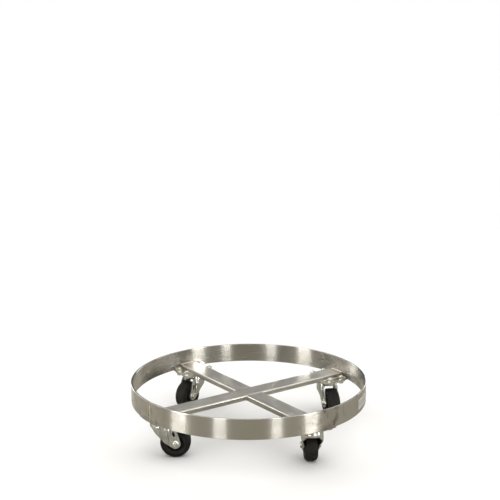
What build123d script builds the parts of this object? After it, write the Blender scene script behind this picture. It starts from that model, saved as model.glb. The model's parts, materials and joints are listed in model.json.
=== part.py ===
from build123d import *
import os
from math import asin, degrees, sqrt

# Drum dolly: a rolled stainless band with a welded cross inside it, carried on four swivel casters.
# Millimetres, +Z up. The origin is on the floor under the middle of the band, and -Y is the front.

INCH = 25.4

# ---------------------------------------------------------------- driving dimensions
# Band
ring_radius = 12 * INCH
ring_height = 2 * INCH
ring_wall = 3 / 16 * INCH
ring_edge = 0.8
seam_bearing = 227.5
seam_gap = 2.5
seam_proud = 0.7

# Cross and pads
pad_thickness = 1 / 8 * INCH
pad_inner_reach = 222.0
pad_outer_radius = 303.3
pad_half_width = 46.0
pad_corner = 4.0
channel_width = 2 * INCH
channel_depth = 0.5 * INCH
channel_wall = 1 / 8 * INCH
channel_bend = 3.0
channel_bevel = 2.4
ring_weld_leg = 4.0
channel_weld_leg = 3.0
under_weld_leg = 1.2

# Casters
caster_circle = 265.0
caster_height = (3 + 13 / 16) * INCH
trail = 1.375 * INCH
wheel_radius = 1.5 * INCH
wheel_width = 1.25 * INCH
tyre_shoulder = 6.0

# Caster top plate and its bolts
plate_radial = 2.375 * INCH
plate_tangential = 3.625 * INCH
plate_thickness = 3.0
plate_corner = 5.0
bolt_radial = 1.5 * INCH
bolt_tangential = 3.0 * INCH
bolt_radius = 5 / 32 * INCH
bolt_hole_radius = 11 / 64 * INCH
bolt_flats = 0.5 * INCH
bolt_head_height = 5.4
bolt_stick_out = 2.0
nut_height = 6.7
lock_washer_radius = 7.2
lock_washer_thickness = 1.8
lock_washer_split = 1.2

# Swivel head
upper_ball_radius = 1 / 8 * INCH
upper_ball_pitch = 20.3
upper_ball_count = 14
lower_ball_radius = 3 / 32 * INCH
lower_ball_pitch = 12.0
lower_ball_count = 10
ball_race_gap = 0.3
ball_seat_gap = 0.03
race_inner_radius = 16.0
race_outer_radius = 24.2
crown_wall = 3.0
cup_radius = 27.5
cup_wall = 2.5
kingpin_radius = 5.0
kingpin_head_radius = 9.0
kingpin_head_height = 2.0
kingpin_foot_radius = 8.0
crown_hole_radius = 7.0

# Fork
fork_wall = 3.0
fork_half_width = 20.5
fork_knee_height = 48.0
fork_shoulder_height = 67.0
fork_boss_radius = 13.0
fork_crown_half_width = 26.5
fork_crown_front = 28.5
fork_crown_corner = 6.0
fork_plan_radius = 28.0
fork_far = 60.0
fork_rib_proud = 1.2
fork_rib_width = 6.0
fork_emboss_radius = 10.5
fork_emboss_proud = 0.6

# Axle and wheel
axle_radius = 5 / 32 * INCH
axle_hole_radius = 4.1
axle_flats = 0.5 * INCH
axle_head_height = 4.2
axle_nut_height = 4.8
axle_stick_out = 0.8
sleeve_radius = 6.35
bush_inner_radius = 6.42
bush_radius = 9.0
hub_radius = 14.5
hub_side_gap = 0.3
tyre_inner_radius = 25.5

# Label
label_bearing = -11.5
label_width = 57.0
label_height = 25.0
label_drop = 2.5
label_thickness = 0.3

# Swivel axes by bearing from +X, and where each wheel trails, both in degrees about +Z
casters = [
    ("front_left", 225, 10.0),
    ("front_right", 315, 103.0),
    ("rear_right", 45, 295.0),
    ("rear_left", 135, 246.0),
]

# ---------------------------------------------------------------- worked-out dimensions
ring_inner_radius = ring_radius - ring_wall
ring_bottom = caster_height + pad_thickness
ring_middle_radius = ring_radius - ring_wall / 2
pad_top = ring_bottom
channel_top = pad_top + channel_depth

plate_bottom = caster_height - plate_thickness
race_bottom = plate_bottom - 2.6
upper_ball_height = plate_bottom - 4.6
crown_top = upper_ball_height - 2.2
crown_bottom = crown_top - crown_wall
cup_top = plate_bottom - 2.2
upper_race_radius = upper_ball_radius + ball_race_gap
lower_race_radius = lower_ball_radius + ball_race_gap
upper_seat_radius = upper_ball_radius + ball_seat_gap
lower_seat_radius = lower_ball_radius + ball_seat_gap
lower_ball_height = crown_bottom - 1.8
lower_cup_top = lower_ball_height - 2.0
lower_cup_bottom = lower_cup_top - 2.4
lower_cup_radius = 17.4
lower_cup_lip = 1.8
lower_cup_lip_top = crown_bottom - 1.2
kingpin_bottom = lower_cup_bottom - 3.4

fork_inner_half_width = fork_half_width - fork_wall
hub_half_length = fork_inner_half_width - hub_side_gap
axle_place = (trail, 0, wheel_radius)


# ---------------------------------------------------------------- shared shapes
def hex_block(flats, height, bore_radius=0.0):
    """A hexagon from z = 0 to height with its top corners chamfered, and a bore if one is asked for."""
    corner = flats / sqrt(3)
    chamfer_drop = (corner - flats / 2) * 0.6
    with BuildPart() as block:
        with BuildSketch():
            RegularPolygon(flats / 2, 6, major_radius=False)
        extrude(amount=height)
        with BuildSketch(Plane.XZ):
            with BuildLine():
                Polyline(
                    (0, 0),
                    (corner, 0),
                    (corner, height - chamfer_drop),
                    (flats / 2 * 0.98, height),
                    (0, height),
                    close=True,
                )
            make_face()
        revolve(axis=Axis.Z, mode=Mode.INTERSECT)
        if bore_radius:
            with BuildSketch():
                Circle(bore_radius)
            extrude(amount=height, mode=Mode.SUBTRACT)
    return block.part


def write(part, name):
    """Labels a finished piece and writes it as its own STEP file."""
    part.label = name
    export_step(part, f"parts/{name}.step")


def on_frame(bearing):
    """Where a caster's fixed pieces go: on its swivel axis, with local +X pointing outwards."""
    return Rotation(0, 0, bearing) * Location((caster_circle, 0, 0))


def on_swivel(bearing, heading):
    """Where a caster's turning pieces go: on its swivel axis, with local +X the way it trails."""
    axis = on_frame(bearing).position
    return Location((axis.X, axis.Y, 0), (0, 0, heading))


os.makedirs("parts", exist_ok=True)

# ---------------------------------------------------------------- band
# Flat bar rolled on edge, its ends brought together at one butt joint.
with BuildPart() as ring_band:
    with BuildSketch(Plane.XZ):
        with Locations((ring_middle_radius, ring_bottom + ring_height / 2)):
            RectangleRounded(ring_wall, ring_height, ring_edge)
    revolve(axis=Axis.Z)
    with BuildSketch(Plane.XY.offset(ring_bottom)):
        with PolarLocations(ring_middle_radius, 1, start_angle=seam_bearing):
            Rectangle(2 * ring_wall, seam_gap)
    extrude(amount=ring_height, mode=Mode.SUBTRACT)
write(ring_band.part, "ring_band")

# The bead fills the joint. It stands a little proud outside and is dressed flush inside.
with BuildPart() as ring_seam_weld:
    with BuildSketch(Plane.XY.offset(ring_bottom + ring_edge)):
        with PolarLocations(ring_middle_radius, 1, start_angle=seam_bearing):
            Ellipse(ring_wall / 2 + seam_proud, 3.2)
        Circle(ring_inner_radius, mode=Mode.SUBTRACT)
    extrude(amount=ring_height - 2 * ring_edge)
    add(ring_band.part, mode=Mode.SUBTRACT)
write(ring_seam_weld.part, "ring_seam_weld")

# ---------------------------------------------------------------- cross
# A shallow channel, web upwards, made from one bent strip.
channel_outline_centre = (0, pad_top + channel_depth / 2)

with BuildPart() as channel_bar:
    with BuildSketch(Plane.YZ):
        with Locations(channel_outline_centre):
            outline = Rectangle(channel_width, channel_depth)
        fillet(outline.vertices().group_by(Axis.Y)[-1], channel_bend)
        with Locations((0, pad_top)):
            Rectangle(
                channel_width - 2 * channel_wall,
                channel_depth - channel_wall,
                align=(Align.CENTER, Align.MIN),
                mode=Mode.SUBTRACT,
            )
    extrude(amount=ring_radius, both=True)

# What fits inside the band. It narrows at the top, where the ends of each web are bevelled for welding.
with BuildPart() as band_bore:
    with BuildSketch(Plane.XZ):
        with BuildLine():
            Polyline(
                (0, pad_top),
                (ring_inner_radius, pad_top),
                (ring_inner_radius, channel_top - channel_bevel),
                (ring_inner_radius - channel_bevel, channel_top),
                (0, channel_top),
                close=True,
            )
        make_face()
    revolve(axis=Axis.Z)

with BuildPart() as cross_channel_long:
    add(channel_bar.part)
    add(band_bore.part, mode=Mode.INTERSECT)
write(cross_channel_long.part.moved(Rotation(0, 0, 45)), "cross_channel_long")

# Two half-length channels butt against the long one's sides.
with BuildPart() as cross_channel_short:
    add(channel_bar.part)
    add(band_bore.part, mode=Mode.INTERSECT)
    with BuildSketch(Plane.XY.offset(ring_bottom)):
        with Locations((channel_width / 2, 0)):
            Rectangle(2 * ring_radius, 2 * channel_width, align=(Align.MAX, Align.CENTER))
    extrude(amount=ring_height, mode=Mode.SUBTRACT)
write(cross_channel_short.part.moved(Rotation(0, 0, 135)), "cross_channel_left")
write(cross_channel_short.part.moved(Rotation(0, 0, 315)), "cross_channel_right")

# ---------------------------------------------------------------- caster pads
# A flat plate under the band and the channel, its outer edge cut to the band's curve.
with BuildPart() as caster_pad:
    with BuildSketch(Plane.XY.offset(caster_height)):
        with Locations((pad_inner_reach, 0)):
            Rectangle(ring_radius - pad_inner_reach, 2 * pad_half_width, align=(Align.MIN, Align.CENTER))
        Circle(pad_outer_radius, mode=Mode.INTERSECT)
        with Locations((caster_circle, 0)):
            with GridLocations(bolt_radial, bolt_tangential, 2, 2):
                Circle(bolt_hole_radius, mode=Mode.SUBTRACT)
    extrude(amount=pad_thickness)
    upright_edges = caster_pad.edges().filter_by(Axis.Z, tolerance=1e-6).filter_by(GeomType.LINE)
    fillet(upright_edges.group_by(Axis.X)[0], pad_corner)

for name, bearing, heading in casters:
    write(caster_pad.part.moved(Rotation(0, 0, bearing)), f"caster_pad_{name}")

# ---------------------------------------------------------------- frame welds
# Beads: pad to band inside on both sides of each channel and outside under its edge, channel sides to pad,
# and the four upright corners where the short channels meet the long one. The bead at each channel's end
# fills the bevel and rises only against the band, so the drum's chime has a clear seat.
pad_weld_start = degrees(asin((channel_width / 2 + 5) / ring_inner_radius))
pad_weld_end = degrees(asin((pad_half_width - 2) / ring_inner_radius))
outer_weld_half = degrees(asin((pad_half_width - 5) / pad_outer_radius))
end_weld_half = degrees(asin((channel_width / 2 - 3) / ring_inner_radius))
channel_weld_end = 288.0


def ring_fillet(foot, leg, start, end):
    """A bead in the corner between the band's inner wall and a surface at height foot, over an arc."""
    with BuildPart() as bead:
        with BuildSketch(Plane.XZ.rotated((0, 0, start))):
            with BuildLine():
                wall_end = (ring_inner_radius, foot + leg)
                floor_end = (ring_inner_radius - leg, foot)
                Line(wall_end, (ring_inner_radius, foot))
                Line((ring_inner_radius, foot), floor_end)
                SagittaArc(floor_end, wall_end, leg * 0.14)
            make_face()
        revolve(axis=Axis.Z, revolution_arc=end - start)
    return bead.part


def bevel_bead(start, end):
    """The bead that fills the bevel at a channel's end, over an arc."""
    with BuildPart() as bead:
        with BuildSketch(Plane.XZ.rotated((0, 0, start))):
            with BuildLine():
                Polyline(
                    (ring_inner_radius - channel_bevel, channel_top),
                    (ring_inner_radius, channel_top - channel_bevel),
                    (ring_inner_radius, channel_top + channel_bevel),
                    close=True,
                )
            make_face()
        revolve(axis=Axis.Z, revolution_arc=end - start)
    return bead.part


def under_fillet(leg, start, end):
    """A bead in the corner between the band's underside and the pad's outer edge, over an arc."""
    with BuildPart() as bead:
        with BuildSketch(Plane.XZ.rotated((0, 0, start))):
            with BuildLine():
                band_end = (pad_outer_radius + leg, ring_bottom)
                pad_end = (pad_outer_radius, ring_bottom - leg)
                Line(pad_end, (pad_outer_radius, ring_bottom))
                Line((pad_outer_radius, ring_bottom), band_end)
                SagittaArc(band_end, pad_end, -leg * 0.14)
            make_face()
        revolve(axis=Axis.Z, revolution_arc=end - start)
    return bead.part


def straight_fillet(length, leg):
    """A bead along +X from the origin in the corner between the floor plane and the wall plane y = 0."""
    with BuildPart() as bead:
        with BuildSketch(Plane.YZ):
            with BuildLine():
                Line((0, leg), (0, 0))
                Line((0, 0), (leg, 0))
                SagittaArc((leg, 0), (0, leg), -leg * 0.14)
            make_face()
        extrude(amount=length)
    return bead.part


frame_beads = []
side_bead = straight_fillet(channel_weld_end - pad_inner_reach - 8, channel_weld_leg)
corner_bead = straight_fillet(channel_depth - channel_bend, channel_weld_leg)
for name, bearing, heading in casters:
    turn = Rotation(0, 0, bearing)
    arcs = [
        (pad_top, ring_weld_leg, pad_weld_start, pad_weld_end),
        (pad_top, ring_weld_leg, -pad_weld_end, -pad_weld_start),
    ]
    frame_beads += [turn * ring_fillet(*arc) for arc in arcs]
    frame_beads.append(turn * bevel_bead(-end_weld_half, end_weld_half))
    frame_beads.append(turn * under_fillet(under_weld_leg, -outer_weld_half, outer_weld_half))
    half = channel_width / 2
    left_side = Location((pad_inner_reach + 8, half, pad_top))
    right_side = Location((channel_weld_end, -half, pad_top), (0, 0, 180))
    frame_beads += [turn * left_side * side_bead, turn * right_side * side_bead]
    upright = Location((half, half, pad_top), (0, -90, 0)) * Location((0, 0, 0), (-90, 0, 0))
    frame_beads.append(turn * upright * corner_bead)
write(Compound(children=frame_beads), "frame_welds")

# ---------------------------------------------------------------- label
# A blank metal foil rating label, stuck to the outside of the band.
label_half_angle = degrees(label_width / 2 / ring_radius)
with BuildPart() as rating_label:
    with BuildSketch(Plane.XZ.rotated((0, 0, label_bearing - label_half_angle))):
        with Locations((ring_radius + label_thickness / 2, ring_bottom + ring_height / 2 - label_drop)):
            Rectangle(label_thickness, label_height)
    revolve(axis=Axis.Z, revolution_arc=2 * label_half_angle)
write(rating_label.part, "rating_label")

# ---------------------------------------------------------------- caster bolts, washers and nuts
# Hex bolts come up through the caster plate and the pad, and are nutted on top of the pad.
bolt_grip_top = pad_top + lock_washer_thickness + nut_height
bolt_head = hex_block(bolt_flats, bolt_head_height)

with BuildPart() as mount_bolt:
    with Locations(Location((0, 0, plate_bottom), (180, 0, 0))):
        add(bolt_head)
    with BuildSketch(Plane.XY.offset(plate_bottom)):
        Circle(bolt_radius)
    extrude(amount=bolt_grip_top + bolt_stick_out - plate_bottom)
    chamfer(mount_bolt.edges().group_by(Axis.Z)[-1], 0.8)

with BuildPart() as mount_lock_washer:
    with BuildSketch(Plane.XY.offset(pad_top)):
        Circle(lock_washer_radius)
        Circle(bolt_radius, mode=Mode.SUBTRACT)
        with Locations((lock_washer_radius, 0)):
            Rectangle(2 * lock_washer_radius, lock_washer_split, mode=Mode.SUBTRACT)
    extrude(amount=lock_washer_thickness)

mount_nut = hex_block(bolt_flats, nut_height, bolt_radius)
mount_nut = mount_nut.moved(Location((0, 0, pad_top + lock_washer_thickness)))

bolt_places = [
    on_frame(bearing) * spot
    for name, bearing, heading in casters
    for spot in GridLocations(bolt_radial, bolt_tangential, 2, 2)
]
spanner_turns = [0, 17, 41, 8, 29, 52, 13, 36, 4, 47, 22, 55, 10, 33, 19, 44]
for part, name in (
    (mount_bolt.part, "mount_bolts"),
    (mount_lock_washer.part, "mount_lock_washers"),
    (mount_nut, "mount_nuts"),
):
    group = [
        part.moved(place * Rotation(0, 0, turn)) for place, turn in zip(bolt_places, spanner_turns)
    ]
    write(Compound(children=group), name)

# ---------------------------------------------------------------- caster top plate
with BuildPart() as caster_plate:
    with BuildSketch(Plane.XY.offset(plate_bottom)):
        RectangleRounded(plate_radial, plate_tangential, plate_corner)
        with GridLocations(bolt_radial, bolt_tangential, 2, 2):
            Circle(bolt_hole_radius, mode=Mode.SUBTRACT)
    extrude(amount=plate_thickness)
    with BuildSketch(Plane.XY.offset(race_bottom)):
        Circle(race_outer_radius)
        Circle(race_inner_radius, mode=Mode.SUBTRACT)
    extrude(amount=plate_bottom - race_bottom)
    with BuildSketch(Plane.XZ):
        with Locations((upper_ball_pitch, upper_ball_height)):
            Circle(upper_race_radius)
    revolve(axis=Axis.Z, mode=Mode.SUBTRACT)
    with Locations((0, 0, caster_height)):
        CounterBoreHole(kingpin_radius, kingpin_head_radius, kingpin_head_height)

# ---------------------------------------------------------------- kingpin
with BuildPart() as kingpin:
    with BuildSketch(Plane.XZ):
        with BuildLine():
            Polyline(
                (0, kingpin_bottom),
                (kingpin_foot_radius - 1.5, kingpin_bottom),
                (kingpin_foot_radius, kingpin_bottom + 1.5),
                (kingpin_foot_radius, lower_cup_bottom),
                (kingpin_radius, lower_cup_bottom),
                (kingpin_radius, caster_height - kingpin_head_height),
                (kingpin_head_radius, caster_height - kingpin_head_height),
                (kingpin_head_radius, caster_height),
                (0, caster_height),
                close=True,
            )
        make_face()
    revolve(axis=Axis.Z)

# ---------------------------------------------------------------- lower race cup
with BuildPart() as lower_race_cup:
    with BuildSketch(Plane.XZ):
        with BuildLine():
            Polyline(
                (kingpin_radius, lower_cup_bottom),
                (lower_cup_radius - 1.2, lower_cup_bottom),
                (lower_cup_radius, lower_cup_bottom + 1.2),
                (lower_cup_radius, lower_cup_lip_top),
                (lower_cup_radius - lower_cup_lip, lower_cup_lip_top),
                (lower_cup_radius - lower_cup_lip, lower_cup_top),
                (kingpin_radius, lower_cup_top),
                close=True,
            )
        make_face()
        with Locations((lower_ball_pitch, lower_ball_height)):
            Circle(lower_race_radius, mode=Mode.SUBTRACT)
    revolve(axis=Axis.Z)

# ---------------------------------------------------------------- swivel balls
with BuildPart() as swivel_balls:
    with Locations((0, 0, upper_ball_height)):
        with PolarLocations(upper_ball_pitch, upper_ball_count):
            Sphere(upper_ball_radius)
    with Locations((0, 0, lower_ball_height)):
        with PolarLocations(lower_ball_pitch, lower_ball_count):
            Sphere(lower_ball_radius)

# ---------------------------------------------------------------- fork
# Pressed from one sheet: a round crown that narrows downwards, and two flat legs that run back to the axle.
fork_foot = wheel_radius - 2 * fork_boss_radius
skirt_bottom = crown_top - 8


def fork_form(inset):
    """The solid form of the pressing, moved in by inset: a round crown, with the legs set in behind it."""
    with BuildPart() as form:
        with BuildSketch(Plane.YZ) as across:
            with BuildLine():
                Polyline(
                    (-fork_crown_half_width, crown_top),
                    (fork_crown_half_width, crown_top),
                    (fork_crown_half_width, fork_shoulder_height),
                    (fork_half_width, fork_knee_height),
                    (fork_half_width, fork_foot),
                    (-fork_half_width, fork_foot),
                    (-fork_half_width, fork_knee_height),
                    (-fork_crown_half_width, fork_shoulder_height),
                    close=True,
                )
            make_face()
            fillet(across.vertices().group_by(Axis.Y)[-1], fork_crown_corner)
            fillet(across.vertices().group_by(Axis.Y)[1:3], 14)
            if inset:
                offset(amount=-inset)
        extrude(amount=fork_far, both=True)
        with BuildSketch():
            Circle(fork_plan_radius - inset)
        extrude(amount=caster_height, mode=Mode.INTERSECT)
        with BuildSketch(Plane.YZ) as leg_block:
            with Locations((0, fork_foot)):
                Rectangle(
                    2 * (fork_half_width - inset),
                    crown_top - inset - fork_foot,
                    align=(Align.CENTER, Align.MIN),
                )
            fillet(leg_block.vertices().group_by(Axis.Y)[-1], fork_crown_corner - inset)
        extrude(amount=fork_far)
    return form.part


# The outline of a leg seen from the side, with the leading edge swept back to the axle boss.
with BuildSketch(Plane.XZ) as fork_side:
    with Locations((trail, wheel_radius)):
        Circle(fork_boss_radius)
    with BuildLine():
        Polyline(
            (-22.5, crown_top + 1),
            (-22.5, skirt_bottom),
            (0, 51.5),
            (7, 41.5),
            (41.5, 63),
            (fork_crown_front, crown_bottom),
            (fork_crown_front, crown_top + 1),
            close=True,
        )
    make_face()
    make_hull()
    with BuildLine():
        Polyline(
            (-fork_far, crown_top + 1),
            (-fork_far, skirt_bottom + 5),
            (-22.5, skirt_bottom),
            (0, crown_top + 1),
            close=True,
        )
    make_face()

# A stiffening rib stands out of each leg behind the axle.
with BuildPart() as fork_rib:
    add(fork_form(-fork_rib_proud))
    with BuildSketch(Plane.XZ):
        with Locations(Location((trail - 13.5, wheel_radius + 20), (0, 0, 98))):
            SlotOverall(36, fork_rib_width)
    extrude(amount=fork_far, both=True, mode=Mode.INTERSECT)
    add(fork_form(fork_wall / 2), mode=Mode.SUBTRACT)

with BuildPart() as fork:
    add(fork_form(0))
    add(fork_form(fork_wall), mode=Mode.SUBTRACT)
    extrude(fork_side.sketch, amount=fork_far, both=True, mode=Mode.INTERSECT)
    add(fork_rib.part)
    # Embossed seat round the axle, the lightening slot above it and the axle hole.
    with BuildSketch(Plane.XZ):
        with Locations((trail, wheel_radius)):
            Circle(fork_emboss_radius)
    extrude(amount=fork_half_width + fork_emboss_proud, both=True)
    with BuildSketch(Plane.XZ):
        with Locations((trail, wheel_radius)):
            Circle(fork_emboss_radius)
    extrude(amount=fork_inner_half_width, both=True, mode=Mode.SUBTRACT)
    with BuildSketch(Plane.XZ):
        with Locations(Location((trail - 3.6, wheel_radius + 24), (0, 0, 102))):
            SlotOverall(13, 6)
        with Locations((trail, wheel_radius)):
            Circle(axle_hole_radius)
    extrude(amount=fork_far, both=True, mode=Mode.SUBTRACT)
    # Ball cup on the crown.
    with BuildSketch(Plane.XZ):
        with BuildLine():
            Polyline(
                (cup_radius - 8, crown_bottom + 0.5),
                (cup_radius, crown_bottom + 0.5),
                (cup_radius, cup_top),
                (cup_radius - cup_wall, cup_top),
                (cup_radius - cup_wall, crown_top),
                (cup_radius - 8, crown_top),
                close=True,
            )
        make_face()
    revolve(axis=Axis.Z)
    with BuildSketch(Plane.XZ):
        with Locations((upper_ball_pitch, upper_ball_height)):
            Circle(upper_seat_radius)
        with Locations((lower_ball_pitch, lower_ball_height)):
            Circle(lower_seat_radius)
    revolve(axis=Axis.Z, mode=Mode.SUBTRACT)
    with BuildSketch(Plane.XY.offset(crown_bottom)):
        Circle(crown_hole_radius)
    extrude(amount=crown_wall, mode=Mode.SUBTRACT)

# ---------------------------------------------------------------- axle bolt, nut and sleeve
# The axle lies along local Y: its head on the +Y leg and its nut on the -Y leg.
axle_seat = fork_half_width + fork_emboss_proud
axle_bolt_length = 2 * axle_seat + axle_nut_height + axle_stick_out
axle_head = hex_block(axle_flats, axle_head_height)

with BuildPart() as axle_bolt:
    with Locations(Location((trail, axle_seat, wheel_radius), (-90, 0, 0))):
        add(axle_head)
    with BuildSketch(Plane.XZ.offset(-axle_seat)):
        with Locations((trail, wheel_radius)):
            Circle(axle_radius)
    extrude(amount=axle_bolt_length)
    chamfer(axle_bolt.edges().group_by(Axis.Y)[0], 0.9)

axle_nut = hex_block(axle_flats, axle_nut_height, axle_radius)
axle_nut = axle_nut.moved(Location((trail, -axle_seat, wheel_radius), (90, 0, 0)) * Rotation(0, 0, 12))

with BuildPart() as axle_sleeve:
    with BuildSketch(Plane.XZ):
        with Locations((trail, wheel_radius)):
            Circle(sleeve_radius)
            Circle(axle_hole_radius, mode=Mode.SUBTRACT)
    extrude(amount=fork_inner_half_width, both=True)

# ---------------------------------------------------------------- wheel
# Turned about the world Y axis at the origin, then carried to the axle.
wheel_side = wheel_width / 2
core_rim_side = wheel_side - 1.0
core_web_side = 6.0
core_lip_radius = tyre_inner_radius - 4

with BuildPart() as tyre:
    with BuildSketch(Plane.XY):
        with BuildLine():
            tread_edge = wheel_side - tyre_shoulder
            tread_radius = wheel_radius - 0.4
            side_radius = wheel_radius - tyre_shoulder
            SagittaArc((tread_radius, tread_edge), (tread_radius, -tread_edge), 0.4)
            SagittaArc((tread_radius, -tread_edge), (side_radius, -wheel_side), 1.7)
            Polyline(
                (side_radius, -wheel_side),
                (tyre_inner_radius + 2, -wheel_side),
                (tyre_inner_radius, -core_rim_side),
                (tyre_inner_radius, core_rim_side),
                (tyre_inner_radius + 2, wheel_side),
                (side_radius, wheel_side),
            )
            SagittaArc((side_radius, wheel_side), (tread_radius, tread_edge), 1.7)
        make_face()
    revolve(axis=Axis.Y)

with BuildPart() as wheel_core:
    with BuildSketch(Plane.XY):
        with BuildLine():
            Polyline(
                (bush_radius, -hub_half_length),
                (hub_radius - 1, -hub_half_length),
                (hub_radius, -core_rim_side + 1),
                (hub_radius + 1.5, -core_web_side),
                (core_lip_radius - 1.5, -core_web_side),
                (core_lip_radius, -core_rim_side),
                (tyre_inner_radius, -core_rim_side),
                (tyre_inner_radius, core_rim_side),
                (core_lip_radius, core_rim_side),
                (core_lip_radius - 1.5, core_web_side),
                (hub_radius + 1.5, core_web_side),
                (hub_radius, core_rim_side - 1),
                (hub_radius - 1, hub_half_length),
                (bush_radius, hub_half_length),
                close=True,
            )
        make_face()
    revolve(axis=Axis.Y)

with BuildPart() as wheel_bush:
    with BuildSketch(Plane.XZ):
        Circle(bush_radius)
        Circle(bush_inner_radius, mode=Mode.SUBTRACT)
    extrude(amount=hub_half_length, both=True)

# ---------------------------------------------------------------- casters in place
fixed_pieces = {
    "caster_plate": caster_plate.part,
    "kingpin": kingpin.part,
    "lower_race_cup": lower_race_cup.part,
}
swivel_pieces = {
    "fork": fork.part,
    "swivel_balls": swivel_balls.part,
    "axle_bolt": axle_bolt.part,
    "axle_nut": axle_nut,
    "axle_sleeve": axle_sleeve.part,
}
wheel_pieces = {
    "tyre": tyre.part,
    "wheel_core": wheel_core.part,
    "wheel_bush": wheel_bush.part,
}
for name, bearing, heading in casters:
    for piece, part in fixed_pieces.items():
        write(part.moved(on_frame(bearing)), f"{piece}_{name}")
    for piece, part in swivel_pieces.items():
        write(part.moved(on_swivel(bearing, heading)), f"{piece}_{name}")
    for piece, part in wheel_pieces.items():
        write(part.moved(on_swivel(bearing, heading) * Location(axle_place)), f"{piece}_{name}")

print(f"drum seat at z = {channel_top:.2f}, band from {ring_bottom:.2f} to {ring_bottom + ring_height:.2f}")
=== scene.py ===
"""The drum dolly's looks: materials, weld beads, floor, studio lights and camera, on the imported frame."""

import json
from math import asin, atan2, cos, pi, radians, sin

import bpy
from mathutils import Matrix, Vector, noise


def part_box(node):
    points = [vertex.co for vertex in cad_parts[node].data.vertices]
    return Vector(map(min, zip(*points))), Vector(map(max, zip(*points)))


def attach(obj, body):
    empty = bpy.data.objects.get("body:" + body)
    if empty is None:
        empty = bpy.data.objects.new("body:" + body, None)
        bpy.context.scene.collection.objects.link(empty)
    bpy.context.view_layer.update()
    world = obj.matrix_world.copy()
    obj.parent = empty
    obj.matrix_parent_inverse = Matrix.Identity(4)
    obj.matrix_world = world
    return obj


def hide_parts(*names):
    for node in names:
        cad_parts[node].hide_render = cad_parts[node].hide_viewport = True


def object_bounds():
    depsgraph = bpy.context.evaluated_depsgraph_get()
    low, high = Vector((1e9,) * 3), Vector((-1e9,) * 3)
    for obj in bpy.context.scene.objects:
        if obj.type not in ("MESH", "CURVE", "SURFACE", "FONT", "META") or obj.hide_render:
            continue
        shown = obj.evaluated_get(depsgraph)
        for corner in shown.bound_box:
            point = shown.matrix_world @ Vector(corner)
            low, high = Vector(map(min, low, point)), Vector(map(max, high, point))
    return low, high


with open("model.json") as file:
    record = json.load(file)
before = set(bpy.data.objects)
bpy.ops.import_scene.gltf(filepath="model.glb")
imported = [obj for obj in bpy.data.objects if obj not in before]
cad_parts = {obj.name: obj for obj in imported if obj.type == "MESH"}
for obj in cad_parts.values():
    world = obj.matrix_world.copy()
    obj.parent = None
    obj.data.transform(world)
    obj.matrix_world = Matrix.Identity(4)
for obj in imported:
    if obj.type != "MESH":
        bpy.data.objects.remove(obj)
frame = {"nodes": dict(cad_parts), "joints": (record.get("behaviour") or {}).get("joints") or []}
cad_low, cad_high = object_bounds()

# ---------------------------------------------------------------- where things are, read from the frame
NODES = frame["nodes"]
JOINTS = {joint["name"]: joint for joint in frame["joints"]}
CORNERS = ("front_left", "front_right", "rear_right", "rear_left")
RING_LOW, RING_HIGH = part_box("ring_band")
RING_RADIUS = (RING_HIGH[1] - RING_LOW[1]) / 2
RING_BOTTOM = RING_LOW[2]
SEAT_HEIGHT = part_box("cross_channel_long")[1][2]


def middle_of(node):
    """The middle of a CAD node's box at rest."""
    low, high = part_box(node)
    return (Vector(low) + Vector(high)) / 2


def swivel_axis(corner):
    """A point on a caster's swivel axis."""
    return Vector(JOINTS[f"swivel_{corner}_turn"]["pos_m"])


def axle_centre(corner):
    """The middle of a caster's wheel."""
    return Vector(JOINTS[f"wheel_{corner}_spin"]["pos_m"])


def heading(corner):
    """The direction a caster trails in at rest, in radians about +Z from +X."""
    trail = axle_centre(corner) - swivel_axis(corner)
    return atan2(trail.y, trail.x)


SEAM_ANGLE = atan2(middle_of("ring_seam_weld").y, middle_of("ring_seam_weld").x)
LABEL_LOW, LABEL_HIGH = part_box("rating_label")
LABEL_START, LABEL_END = (asin(y / RING_RADIUS) for y in (LABEL_LOW[1], LABEL_HIGH[1]))

# ---------------------------------------------------------------- sizes that the frame doesn't give
# The fork, as the part's source has it. The sides of its crown splay out from the knee up to the shoulder.
# The rest is how far its inner faces stand from its middle: at the knee, at the shoulder, round the crown.
FORK_KNEE = 0.048
FORK_SHOULDER = 0.067
FORK_LEG_INSIDE = 0.0175
FORK_CROWN_INSIDE = 0.0235
FORK_CROWN_RADIUS = 0.025

# Where the drum's bottom chime stands on the cross, and how far each side of that it rubs.
CHIME_RADIUS = 0.2885
CHIME_REACH = 0.006

# The range that most of a noise texture's values lie in.
NOISE_LOW = 0.3
NOISE_HIGH = 0.7


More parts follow.
